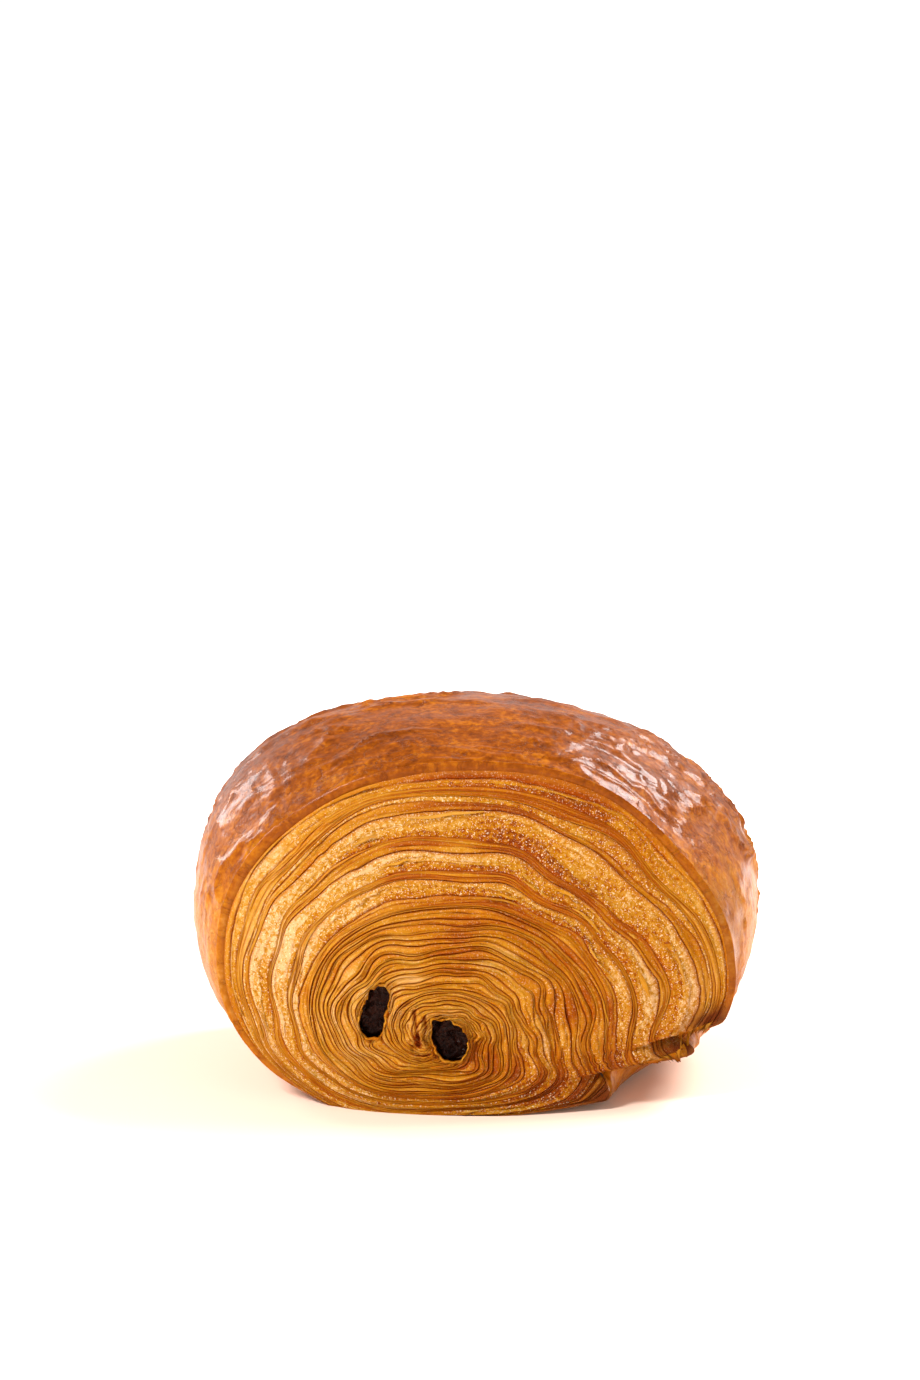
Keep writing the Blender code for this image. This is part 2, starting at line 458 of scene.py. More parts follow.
def crumpled(flat, share):
    """Points moved a little, so that the layers wander, most of all round the heart."""
    free = smooth_step((1 - share) * 5)
    heart = near_heart(flat, (15, 11))
    moved = flat.copy()
    for axis in (0, 1):
        wide = mottled(noise, flat, 21, axis * 7.3, 11)
        middle = mottled(noise, flat, 6, axis * 7.3, 12)
        small = mottled(noise, flat, 1.9, axis * 5.1, 13)
        moved[..., axis] += free * (0.7 * wide * (1 - heart) + 0.14 * middle)
        moved[..., axis] += free * heart * (0.35 * middle + 0.26 * heart**2 * small)
    return moved


def strata_edges(along, angle, travelled, heartward, seed):
    """Where each stratum ends, in layers from the sheet's outer face."""
    at_rim = strata("rim_width")
    loosened = heartward * smooth_step((LOOSE_UNTIL - along) / 0.5) * bump(angle, LOOSE_AT, LOOSE_SPREAD)
    swing = np.where(at_rim < SKIN_WIDTH, SKIN_SWING, SWING) + LOOSE_SWING * loosened
    widths = at_rim * (strata("heart_width") / at_rim) ** heartward
    widths = widths * np.exp(swing * along_strand(along, SWING_CYCLES, seed))
    wide = np.isin(np.arange(len(STRATA)), WIDE_BAND)[:, None]
    widths = widths * np.exp(WIDE_BAND_GROWTH * wide * bell(along - WIDE_BAND_AT, WIDE_BAND_SPREAD))
    edges = np.concatenate([np.zeros((1, along.size)), np.cumsum(widths, 0)])
    edges *= LAYERS_PER_TURN / edges[-1]
    widths = np.diff(edges, axis=0)
    line = np.arange(1, len(STRATA))[:, None] * 5.3
    jitter = noise(travelled[None] / 5, line, seed=61)
    jitter = jitter + (0.7 - 0.4 * heartward) * noise(travelled[None] / 1.8, line, seed=62)
    edges[1:-1] += STRAY * np.minimum(widths[:-1], widths[1:]) * jitter
    return edges


def strata_heights(along, crossing, heartward, seed):
    """Each stratum's height, the height between it and the next, and how open their crevice is."""
    level = kinds("level") * (1 - 0.6 * heartward) + 0.22 * along_strand(along, 3, seed + 2)
    level = level * np.clip(crossing / 0.8, 0.3, 1) * (1 + heartward)
    openness = strata("openness") * np.where(strata("rim_width") < SKIN_WIDTH, 0.62, 1)
    every_other = (np.arange(len(STRATA)) % 2)[:, None]
    openness = blended(openness, 0.08 + 0.92 * every_other, heartward)
    wander = 0.35 * along_strand(along, 5, seed + 1) + 0.3 * along_strand(along, 16, seed + 4)
    openness = np.clip(openness + (0.2 + 3.2 * openness * (1 - openness)) * wander, 0, 1)
    ends = np.ones((1, along.size))
    openness = np.concatenate([ends, openness[1:], ends])
    padded = np.concatenate([level[:1], level, level[-1:]])
    beside = np.concatenate([crossing[:1], crossing, crossing[-1:]])
    depth = np.clip(0.26 + 0.32 * (beside[:-1] + beside[1:]), 0.25, 0.9) * (0.68 + 1.42 * heartward)
    closed = (padded[:-1] + padded[1:]) / 2
    opened = np.minimum(padded[:-1], padded[1:]) - depth
    return level, blended(closed, opened, openness), openness


def thin_lip(flat, thickness):
    """How far the outer edge of each stratum leans out over its crevice."""
    outward = np.zeros_like(flat)
    outward[1:-1] = flat[:-2] - flat[2:]
    outward[0], outward[-1] = outward[1], outward[-2]
    outward /= np.maximum(np.linalg.norm(outward, axis=-1, keepdims=True), 1e-6)
    return outward * np.clip(thickness * 0.12, 0.01, 0.16)[..., None]


def shading(flat, share, angle):
    """How much paler or darker parts of an end are: paler on the left with painted light, darker at the top
    with painted shade, darker towards the bottom and on the flap, paler at the heart, and in random
    patches.
    """
    patch = mottled(rough_noise, flat, 9, 5.0, 51)
    # painted light: the left side is paler, as if lit from there
    left = bump(angle, *LIT_LEFT_SIDE) * smooth_step(share * 1.7)
    heart = near_heart(flat, (16, 12))
    low = smooth_step(1 - flat[..., 1] / 10) * (1 - 0.5 * left) * (1 - 0.7 * heart)
    # painted shade: the top is darker
    top = bump(angle, *SHADED_TOP_SIDE) * smooth_step(share * 1.5 - 0.3)
    flap = bump(angle, *FLAP_SIDE) * smooth_step((0.95 - share) * 5)
    return 0.13 * patch + 0.14 * left - 0.3 * low - 0.24 * top - 0.32 * flap + 0.14 * heart


def scorching(reached, angle):
    """How dark the sheet's ragged ends are baked, where reached is 1 at the very edge."""
    burnt_and_shaded = 0.45 * (angle < max(TIP_ANGLES) + radians(5)) * smooth_step((reached - 0.9) / 0.1)
    for tip in TIP_ANGLES:
        near = bump(angle, tip + radians(2), radians(6)) * smooth_step((reached - 0.82) / 0.16)
        burnt_and_shaded = np.maximum(burnt_and_shaded, 1.1 * near)
    return burnt_and_shaded


def smeared_chocolate(flat):
    """How much chocolate is smeared on the layers round the wells."""
    smear = 0.5 + 0.5 * mottled(noise, flat, 1.4, 0.0, 52)
    stained = np.zeros(flat.shape[:2])
    for bar in BARS.values():
        outside = np.maximum(well_distance(flat, bar), 0)
        stained = np.maximum(stained, bell(outside, 0.3 + 0.9 * smear))
    return 0.5 * stained * (0.4 + 0.6 * smear)


def ribbon(number, columns, seed):
    """One turn of the sheet as rows and columns of points, with what the shaders need."""
    turned = np.linspace(0, 1, columns + 1)
    along = number + turned
    angle = turned * TURN + min(TIP_ANGLES)
    count = len(STRATA)
    heartward = smooth_step((along - TIGHT_FROM) / TIGHT_OVER)[None]
    travelled = TURN * SHEET_RADIUS * (along - along**2 / (2 * SHEET_END))
    edges = strata_edges(along, angle, travelled, heartward, seed)
    bounds = plain_place(number * LAYERS_PER_TURN + edges, turned[None], angle)
    crossing = np.linalg.norm(bounds[:-1] - bounds[1:], axis=-1)

    # Each stratum has a row on its outer crevice, then one each side and two between.
    index = np.append(np.repeat(np.arange(count), STRATUM_ROWS), count - 1)
    step = np.append(np.tile(np.arange(STRATUM_ROWS), count), STRATUM_ROWS)
    side = np.clip(CREVICE_SIDE / np.maximum(crossing, 0.05), 0.08, 0.3)[index]
    middle = (0.5 - side) * 0.36
    place = np.choose(step[:, None], [0 * side, side, 0.5 - middle, 0.5 + middle, 1 - side, 0 * side + 1])
    layer = number * LAYERS_PER_TURN + edges[index] * (1 - place) + edges[index + 1] * place
    wide_angle = np.broadcast_to(angle, layer.shape)
    share = share_at(layer, turned[None])
    limit = rim_share(wide_angle)
    beyond = share > limit
    share = np.minimum(share, limit)
    eased = eased_place(number, turned[None], layer, share)
    flat = part_round_bars(crumpled(eased[..., :2], share))

    # Heights of the strata and of the crevices between them
    level, bound, openness = strata_heights(along, crossing, heartward, seed)
    grain = blended(kinds("grain"), HEART_GRAIN, heartward)[index]
    thickness = crossing[index]
    outer = place < 0.5
    nearest = np.where(outer, bound[index], bound[index + 1])
    open_here = np.where(outer, openness[index], openness[index + 1])
    crown = np.choose(step, CROWN)[:, None]
    height = level[index] * crown + nearest * (1 - crown)
    height += (0.5 - place) * crown * np.clip(thickness * 0.22, 0, 0.3) * open_here
    lumps = mottled(rough_noise, flat, 1.3, 3.1, 31)
    height += 0.14 * lumps * crown * (0.2 + grain) * np.clip(thickness / 0.9, 0.2, 1)
    ridge = 0.5 + 0.5 * np.cos(TURN * layer / LAYERS_PER_RIDGE)
    creases = crease_shape(flat)
    hollow = hollow_share(flat)
    relief = (0.45 + 0.4 * (1 - ridge) - height) * (0.5 + 0.5 * smooth_step(share * 6))
    relief = relief * (1 - 0.6 * hollow) + creases + 0.5 * hollow

    lip = (step == 1)[:, None] * open_here * ~beyond * smooth_step((limit - share) * 12)
    flat = flat + thin_lip(flat, thickness) * lip[..., None]
    flat[..., 1] = np.maximum(flat[..., 1], 0)

    paleness = blended(strata("paleness"), 0.3 + 0.3 * strata("paleness"), heartward)
    paleness = (paleness + 0.14 * along_strand(along, 4, seed + 3))[index]
    # The paleness includes painted light on the left and painted shade at the top, from shading().
    pale = np.clip(paleness + shading(flat, share, wide_angle), 0, 1)
    # painted shade: darker towards each open crevice
    crevice_shade = np.choose(step, CREVICE_SHADE)[:, None] * open_here * (1 - 0.8 * hollow)
    return {
        "points": np.stack([flat[..., 0], eased[..., 2] + relief - LENGTH / 2, flat[..., 1]], -1),
        "gone": beyond,
        "pale": blended(pale, 0.9, hollow),
        "grain": grain * np.clip(thickness / 0.7, 0.2, 1) * (1 - hollow),
        # painted shade in the crevices, and in the creases at the heart
        "crevice_shade": np.clip(crevice_shade + np.clip(creases, 0, 1), 0, 1),
        # painted highlight on each stratum's outer lip
        "edge_highlight": np.choose(step, EDGE_HIGHLIGHT)[:, None] * open_here,
        "burnt_and_shaded": np.clip(scorching(share / limit, wide_angle) + smeared_chocolate(flat), 0, 1),
        "strand": np.stack(np.broadcast_arrays(layer * 2.0, travelled[None], index[:, None] * 3.7), -1),
        "share": share,
    }


# Meshes


def grid_quads(rows, columns, start=0):
    across = np.arange(rows - 1)[:, None] * columns
    along = np.arange(columns - 1)[None]
    first = (start + across + along).ravel()
    return np.stack([first, first + 1, first + columns + 1, first + columns], -1)


def listed(word, value, shape):
    """What the shaders read at each point of a grid, as one list."""
    return value.reshape(-1, 3) if word == "strand" else np.broadcast_to(value, shape).ravel()


def new_mesh(name, grid, quads, looks, attributes):
    """A mesh object from arrays, in millimetres."""
    points = grid.reshape(-1, 3)
    made = bpy.data.meshes.new(name)
    used = np.unique(quads)
    renumber = np.full(len(points), -1)
    renumber[used] = np.arange(len(used))
    quads = renumber[quads]
    made.vertices.add(len(used))
    made.vertices.foreach_set("co", (points[used] * MM).astype(np.float32).ravel())
    made.loops.add(quads.size)
    made.loops.foreach_set("vertex_index", quads.astype(np.int32).ravel())
    made.polygons.add(len(quads))
    made.polygons.foreach_set("loop_start", np.arange(0, quads.size, 4, dtype=np.int32))
    made.update(calc_edges=True)
    for word, value in attributes.items():
        kind, key = ("FLOAT_VECTOR", "vector") if word == "strand" else ("FLOAT", "value")
        layer = made.attributes.new(word, kind, "POINT")
        layer.data.foreach_set(key, listed(word, value, grid.shape[:-1])[used].astype(np.float32).ravel())
    made.validate()
    made.shade_smooth()
    made.materials.append(looks)
    obj = bpy.data.objects.new(name, made)
    bpy.context.scene.collection.objects.link(obj)
    return obj


WORDS = ("pale", "grain", "crevice_shade", "edge_highlight", "burnt_and_shaded", "strand")
SHEET_SEED = 5
# The longest diagonal of a cell that is kept, and how far into a well a cell may reach
LONGEST_CELL = 4
INTO_WELL = 0.05
# The turns that loose flakes peel off, each with its columns and its share of the flakes
FLAKE_TURNS = ((0, 460, 0.45), (1, 340, 0.35), (2, 220, 0.2))
TORN_STEPS = 7
LOWEST_FLAKE = 0.2


class Patches:
    """Grids of points that make one mesh, with what the shaders read at each point."""

    def __init__(self):
        self.points, self.cells, self.count = [], [], 0
        self.values = {word: [] for word in WORDS}

    def add(self, points, cells, values):
        self.cells.append(cells + self.count)
        self.points.append(points.reshape(-1, 3))
        self.count += len(self.points[-1])
        for word in WORDS:
            self.values[word].append(listed(word, values[word], points.shape[:-1]))

    def add_sliver(self, centre, across, ridge, values):
        """Three rows of points, the middle one standing out by ridge."""
        rows = np.stack([centre + share * across for share in (-0.5, 0.0, 0.5)])
        rows[1, :, 1] -= ridge
        rows[..., 2] = np.maximum(rows[..., 2], LOWEST_FLAKE)
        self.add(rows, grid_quads(3, len(centre)), {"grain": 0.1, "crevice_shade": 0, **values})

    def mesh(self, name, looks, mirrored):
        points, cells = np.concatenate(self.points), np.concatenate(self.cells)
        if mirrored:
            points[:, 1] *= -1
        else:
            cells = cells[:, ::-1]
        values = {word: np.concatenate(parts) for word, parts in self.values.items()}
        return new_mesh(name, points, cells, looks, values)


def ribbon_mesh(name, turns, looks, mirrored, seed):
    """Turns of the sheet as one mesh, open where the wells are."""
    patches = Patches()
    for number, columns in turns:
        made = ribbon(number, columns, seed)
        cells = grid_quads(*made["gone"].shape)
        keep = ~made["gone"].ravel()[cells].all(1) & (made["share"].ravel()[cells] > 0).any(1)
        cells = cells[keep]
        corners = made["points"].reshape(-1, 3)[cells][..., [0, 2]]
        keep = np.linalg.norm(corners[:, 0] - corners[:, 2], axis=-1) < LONGEST_CELL
        for bar in BARS.values():
            for probe in (*np.moveaxis(corners, 1, 0), corners.mean(1)):
                keep &= well_distance(probe, bar) > -INTO_WELL
        patches.add(made["points"], cells[keep], made)
    return patches.mesh(name, looks, mirrored)


def flake_mesh(name, count, looks, mirrored, seed):
    """Loose slivers that peel off the layers, each along its own stratum."""
    draw = np.random.default_rng(seed)
    turns = {number: ribbon(number, columns, SHEET_SEED) for number, columns, _ in FLAKE_TURNS}
    patches = Patches()
    while count > 0:
        made = turns[int(draw.choice(list(turns), p=[share for _, _, share in FLAKE_TURNS]))]
        length = int(draw.integers(5, 22))
        first = int(draw.integers(0, made["gone"].shape[1] - length))
        row = int(draw.integers(0, len(STRATA))) * STRATUM_ROWS + 1
        block = slice(row, row + 4), slice(first, first + length + 1)
        strip = made["points"][block]
        near_well = min(well_distance(strip[..., [0, 2]], bar).min() for bar in BARS.values())
        width = np.linalg.norm(strip[0] - strip[-1], axis=-1).mean()
        if made["gone"][block].any() or near_well < 0.6 or not 0.12 < width < 1.3:
            continue
        count -= 1
        run = np.linspace(0, 1, length + 1)
        if draw.random() < 0.5:
            run = run[::-1]
        taper = np.sin(pi * (0.04 + 0.9 * run)) ** 0.7 * draw.uniform(0.35, 0.95)
        out = strip[0] - strip[-1]
        out /= np.linalg.norm(out, axis=-1, keepdims=True)
        lift = 0.15 + draw.uniform(0.3, 1.3) * run**2
        peel = draw.uniform(0.0, 0.6) * run**2
        wavy = 0.06 * np.sin(run * draw.uniform(5, 14))
        centre = strip.mean(0) + out * (peel + wavy)[:, None]
        centre[:, 1] -= lift
        patches.add_sliver(centre, out * (width * taper)[:, None], 0.12 * width, {
            "pale": draw.uniform(0.35, 0.8),
            "edge_highlight": 0.5 * run,
            "burnt_and_shaded": 0.4 * (draw.random() < 0.2) * run,
            "strand": made["strand"][block][:3],
        })
    return patches.mesh(name, looks, mirrored)


def ragged_mesh(name, looks, mirrored, seed):
    """Torn, darkened points where the outer layers end in the notches, each along its own strand."""
    draw = np.random.default_rng(seed)
    made = ribbon(0, 560, SHEET_SEED)
    patches = Patches()
    run = np.linspace(0, 1, TORN_STEPS)
    row = 2
    while row < len(made["gone"]) - 8:
        width = int(draw.integers(2, 7))
        there = [np.flatnonzero(~made["gone"][place]) for place in (row, row + width)]
        ends = [columns[0] if len(columns) else -1 for columns in there]
        row += int(draw.integers(1, 4))
        if min(ends) < 4:
            continue
        sides = [made["points"][place, end + 1] for place, end in zip((row, row + width), ends)]
        onward = made["points"][row, ends[0] + 1] - made["points"][row, ends[0] + 9]
        onward /= np.linalg.norm(onward)
        if np.linalg.norm(sides[0] - sides[1]) > 5:
            continue
        length = draw.uniform(0.9, 2.2)
        lean = draw.uniform(-0.4, 0.4)
        curl = draw.uniform(-0.3, 0.6)
        middle = (sides[0] + sides[1]) / 2
        across = (sides[0] - sides[1]) * draw.uniform(0.9, 1.5)
        taper = (1 - run**1.4) ** 0.8
        centre = middle + onward * (length * run - 0.6)[:, None] + across * (lean * run)[:, None]
        centre[:, 1] -= 0.25 + curl * run**2
        strand = np.broadcast_arrays(np.array([[0], [0.4], [0.8]]), run * length + row, row * 1.3)
        patches.add_sliver(centre, across * taper[:, None], 0.15, {
            "pale": draw.uniform(0.3, 0.65),
            "edge_highlight": 0,
            "burnt_and_shaded": np.clip(0.1 + 0.8 * run, 0, 1),
            "strand": np.stack(strand, -1),
        })
    return patches.mesh(name, looks, mirrored)


def surface_depth(meshes, places, outward):
    """How far out, along Y, the layers lie at each (x, z)."""
    trees = []
    for mesh in meshes:
        corners = [v.co for v in mesh.data.vertices]
        faces = [tuple(p.vertices) for p in mesh.data.polygons]
        trees.append(BVHTree.FromPolygons(corners, faces))
    found = []
    for x, z in places:
        start = Vector((x * MM, outward * 0.2, z * MM))
        hits = [tree.ray_cast(start, Vector((0, -outward, 0)))[0] for tree in trees]
        ys = [hit.y * outward / MM for hit in hits if hit is not None]
        found.append(max(ys) if ys else np.nan)
    found = np.array(found)
    return np.where(np.isnan(found), np.nanmedian(found), found)


WELL_COLUMNS = 150
# A well's wall from outside in: distance out from its edge, and height above the layers or below them
WALL = (
    (0.7, -0.7), (0.42, -0.3), (0.22, 0.02), (0.05, 0.15), (-0.07, 0.08), (-0.14, -0.15), (-0.12, -0.8),
    (0.2, -2.0), (0.7, -3.4), (0.9, -5.5), (0.9, -8.0),
)


def well_mesh(name, bar, meshes, looks, outward):
    """The thin lip round a bar's well, and the well's wall."""
    turn = np.linspace(0, TURN, WELL_COLUMNS + 1)
    ways = np.stack([np.cos(turn), np.sin(turn)], -1)
    level = surface_depth(meshes, bar["at"] + ways * (well_reach(turn, bar) + 0.8)[:, None], outward)
    level[-1] = level[0]
    for _ in range(3):
        wrapped = np.concatenate([level[-2:-1], level, level[1:2]])
        level = (wrapped[:-2] + wrapped[1:-1] + wrapped[2:]) / 3
    wave = noise(ways[:, 0] * 2.6, ways[:, 1] * 2.6, bar["at"][0], seed=41)
    fine = noise(ways[:, 0] * 7, ways[:, 1] * 7, bar["at"][0], seed=42)
    points = []
    heights = np.array([height for _, height in WALL])[:, None]
    lip = 0.3 + 0.7 * smooth_step(wave * 2 + 0.4)
    for spread, height in WALL:
        wander = 0.16 * wave + 0.12 * fine if height > -2 else 0.1 * wave
        flat = bar["at"] + ways * (well_reach(turn, bar) + spread + wander)[:, None]
        y = level + (height * lip + 0.25 * fine if height > 0 else height)
        points.append(np.stack([flat[:, 0], y * outward, np.maximum(flat[:, 1], 0)], -1))
    points = np.array(points)
    cells = grid_quads(*points.shape[:2])
    if outward < 0:
        cells = cells[:, ::-1]
    return new_mesh(name, points, cells, looks, {
        "pale": 0.25 + 0.4 * lip * bell(heights - 0.1, 0.2),
        "grain": 0.1,
        # painted shade: the wall darkens deeper into the well
        "crevice_shade": smooth_step(-heights / 2.5) * 0.8,
        # painted highlight on the well's lip
        "edge_highlight": 0.6 * lip * bell(heights - 0.15, 0.1),
        # painted shade: darker deeper into the well
        "burnt_and_shaded": smooth_step((-heights - 0.3) / 2),
        "strand": np.stack(np.broadcast_arrays(heights * 2, turn * 4, 0), -1),
    })


def crust_points(columns, rows):
    """The crust from the front rim to the back rim, with a lip at both."""
    angle = np.linspace(0, TURN, columns + 1) + min(TIP_ANGLES)
    along = np.linspace(0, 1, rows)[:, None]
    along = along - 0.85 * np.sin(TURN * along) / TURN
    outward = (LENGTH / 2 - dome_set_back(np.ones_like(angle), angle))[None]
    bulge = np.sin(pi * along) ** 0.8
    rim = HEART + whole_rim(angle) * rim_share(angle)[..., None]
    middle = middle_outline(angle)
    across = settled(rim[None] * (1 - bulge[..., None]) + middle[None] * bulge[..., None])
    y = outward * (2 * along - 1)
    points = np.stack([across[..., 0], y, across[..., 1]], -1)
    return angle, along, points


# The crust's relief: height, and its size across, or along and round the roll
LUMPS, LUMP_SIZE = 0.7, 24
FOLDS, FOLD_SIZE = 0.8, (5, 17)
RIPPLES, RIPPLE_SIZE = 0.13, (5, 2.4)
# The right flank is more folded, and darker with painted shade, most of all between its folds: angle and
# spread.
SHADED_FLANK = (radians(8), radians(26))
GIRTH = 38


def crust_mesh(name, columns, rows, looks):
    angle, along, points = crust_points(columns, rows)
    radial = points[..., [0, 2]] - (0, WAIST * 0.8)
    radial /= np.linalg.norm(radial, axis=-1, keepdims=True)
    from_rim = np.minimum(along, 1 - along) * LENGTH
    lift = smooth_step(points[..., 2] / 6)
    x, y, z = points[..., 0], points[..., 1], points[..., 2]
    lumps = LUMPS * rough_noise(x / LUMP_SIZE, y / LUMP_SIZE, z / LUMP_SIZE, seed=71)
    around = np.broadcast_to(angle * GIRTH, y.shape)
    bend = 2.5 * noise(x / 12, y / 12, z / 12, seed=74)
    pleats = rough_noise((y + bend) / FOLD_SIZE[0], around / FOLD_SIZE[1], z / 30, seed=72)
    flank = np.broadcast_to(bump(angle, *SHADED_FLANK), y.shape)
    folds = FOLDS * np.clip(1 - np.abs(pleats), 0, 1) ** 5 * (1 + 0.6 * flank)
    folds = folds * smooth_step(noise(x / 19, y / 19, z / 19, seed=73) * 1.5 + 0.6)
    ripples = RIPPLES * rough_noise(x / RIPPLE_SIZE[1], y / RIPPLE_SIZE[0], z / RIPPLE_SIZE[1], seed=75)
    lip = 0.7 * bell(from_rim - 1.0, 0.5) - bell(from_rim, 0.35)
    grow = (lumps * smooth_step(from_rim / 8) + (folds + ripples) * smooth_step(from_rim / 3) + lip) * lift
    points[..., 0] += radial[..., 0] * grow
    points[..., 2] = np.maximum(points[..., 2] + radial[..., 1] * grow, 0)
    points[..., 1] -= np.sign(y) * 0.8 * bell(from_rim, 0.3)
    # painted shade on the right flank, deepest between its folds; the tips below are baked darker
    burnt_and_shaded = flank * (0.12 + 0.26 * smooth_step((pleats - 0.08) / 0.4))
    for tip in TIP_ANGLES:
        burnt_and_shaded = np.maximum(burnt_and_shaded, bump(angle, tip, radians(6))[None] * np.exp(-(from_rim / 3)))
    return new_mesh(name, points, grid_quads(*points.shape[:2]), looks, {
        "under": smooth_step(1 - z / 3),
        "burnt_and_shaded": burnt_and_shaded,
        # painted shade in the groove along the rim
        "rim": bell(from_rim, 0.7),
        # darker towards the top: partly real browning, partly painted shade
        "top": smooth_step((z - 0.35 * HEIGHT) / (0.6 * HEIGHT)),
        "strand": np.stack([y, around, 0 * y], -1),
    })


BAR_COLUMNS = 72
BAR_CAP_ROWS = 18
BAR_SIDE_ROWS = 20
BAR_SQUARENESS = 0.7


def bar_mesh(name, bar, looks):
    """A bar with lumpy melted ends, inside its well."""
    turn = np.linspace(0, TURN, BAR_COLUMNS + 1)[:-1]
    ways = np.stack([np.cos(turn), np.sin(turn)], -1)
    section = tilted(bar["size"] * signed_power(ways, BAR_SQUARENESS), bar["tilt"])
    low, high = node_box(name)
    end = (high[1] - low[1]) / 2
    caps = np.arange(BAR_CAP_ROWS + 1) / BAR_CAP_ROWS
    rings = [(size, -end) for size in caps]
    rings += [(1.0, end * (2 * row / BAR_SIDE_ROWS - 1)) for row in range(1, BAR_SIDE_ROWS)]
    rings += [(1 - size, end) for size in caps]
    points = []
    for size, y in rings:
        flat = bar["at"] + section * max(size, 0.001)
        lump = mottled(rough_noise, flat, 1.3, y, 91)
        bulge = 0.9 * (1 - size**4) + 0.7 * lump * (size < 1)
        points.append(np.stack([flat[:, 0], y + np.sign(y) * bulge, flat[:, 1]], -1))
    points = np.array(points)
    points = np.concatenate([points, points[:, :1]], 1)
    return new_mesh(name + "_melted", points, grid_quads(*points.shape[:2]), looks, {})


# Materials


def linear(code):
    """A colour from its sRGB hex code."""
    values = [int(code[i : i + 2], 16) / 255 for i in (0, 2, 4)]
    return tuple(v / 12.92 if v <= 0.04045 else ((v + 0.055) / 1.055) ** 2.4 for v in values) + (1,)


RANGE_WORDS = ("From Min", "From Max", "To Min", "To Max")


class Look:
    """A short way to write a material's nodes."""

    def __init__(self, name):
        self.material = bpy.data.materials.new(name)
        self.material.use_nodes = True
        self.tree = self.material.node_tree
        self.shader = self.tree.nodes["Principled BSDF"]

    def put(self, target, value):
        if isinstance(value, bpy.types.NodeSocket):
            self.tree.links.new(value, target)
        else:
            target.default_value = value

    def node(self, kind, inputs=None, **settings):
        made = self.tree.nodes.new(kind)
        for word, value in settings.items():
            setattr(made, word, value)
        for word, value in (inputs or {}).items():
            self.put(made.inputs[word], value)
        return made

    def given(self, word, vector=False):
        made = self.node("ShaderNodeAttribute", attribute_name=word)
        return made.outputs["Vector" if vector else "Fac"]

    def place(self):
        return self.node("ShaderNodeTexCoord").outputs["Object"]

    def stretch(self, vector, scale):
        return self.node("ShaderNodeMapping", {"Vector": vector, "Scale": scale}).outputs["Vector"]

    def noise(self, vector, scale, detail=3, roughness=0.55, distortion=0.0):
        inputs = {"Scale": scale, "Detail": detail, "Roughness": roughness, "Distortion": distortion}
        return self.node("ShaderNodeTexNoise", {"Vector": vector, **inputs}).outputs["Fac"]

    def math(self, operation, first, second=0.5, clamp=False):
        inputs = {0: first, 1: second}
        return self.node("ShaderNodeMath", inputs, operation=operation, use_clamp=clamp).outputs[0]

    def product(self, *factors):
        total = factors[0]
        for factor in factors[1:]:
            total = self.math("MULTIPLY", total, factor)
        return total

    def total(self, *parts):
        result = parts[0]
        for part in parts[1:]:
            result = self.math("ADD", result, part)
        return result

    def varied(self, tone, *parts):
        """A tone with noises added, each as far as it differs from a half, times its share."""
        for value, share in parts:
            tone = self.math("ADD", tone, self.product(self.math("SUBTRACT", value), share))
        return tone

    def lines(self, value, width):
        """1 where a noise crosses a half, 0 further from there than width."""
        return self.span(self.math("ABSOLUTE", self.math("SUBTRACT", value)), 0.0, width, 1.0, 0.0)

    def span(self, value, low, high, to_low=0.0, to_high=1.0):
        inputs = {"Value": value, **dict(zip(RANGE_WORDS, (low, high, to_low, to_high)))}
        made = self.node("ShaderNodeMapRange", inputs, interpolation_type="SMOOTHSTEP")
        return made.outputs["Result"]

    def ramp(self, value, stops):
        made = self.node("ShaderNodeValToRGB", {"Fac": value})
        points = made.color_ramp.elements
        while len(points) < len(stops):
            points.new(0.5)
        for point, (at, code) in zip(points, stops):
            point.position = at
            point.color = linear(code)
        return made.outputs["Color"]

    def mix(self, share, first, second):
        made = self.node("ShaderNodeMix", {"Factor": share}, data_type="RGBA")
        sockets = [s for s in made.inputs if s.type == "RGBA"]
        self.put(sockets[0], first)
        self.put(sockets[1], second)
        return next(s for s in made.outputs if s.type == "RGBA")

    def painted(self, colour, *coats):
        for share, code in coats:
            colour = self.mix(share, colour, linear(code))
        return colour

    def bump(self, height, distance, under=None):
        inputs = {"Height": height, "Distance": distance * MM}
        if under is not None:
            inputs["Normal"] = under
        return self.node("ShaderNodeBump", inputs).outputs["Normal"]

    def finish(self, **sockets):
        for word, value in sockets.items():
            self.put(self.shader.inputs[word.replace("_", " ")], value)
        return self.material


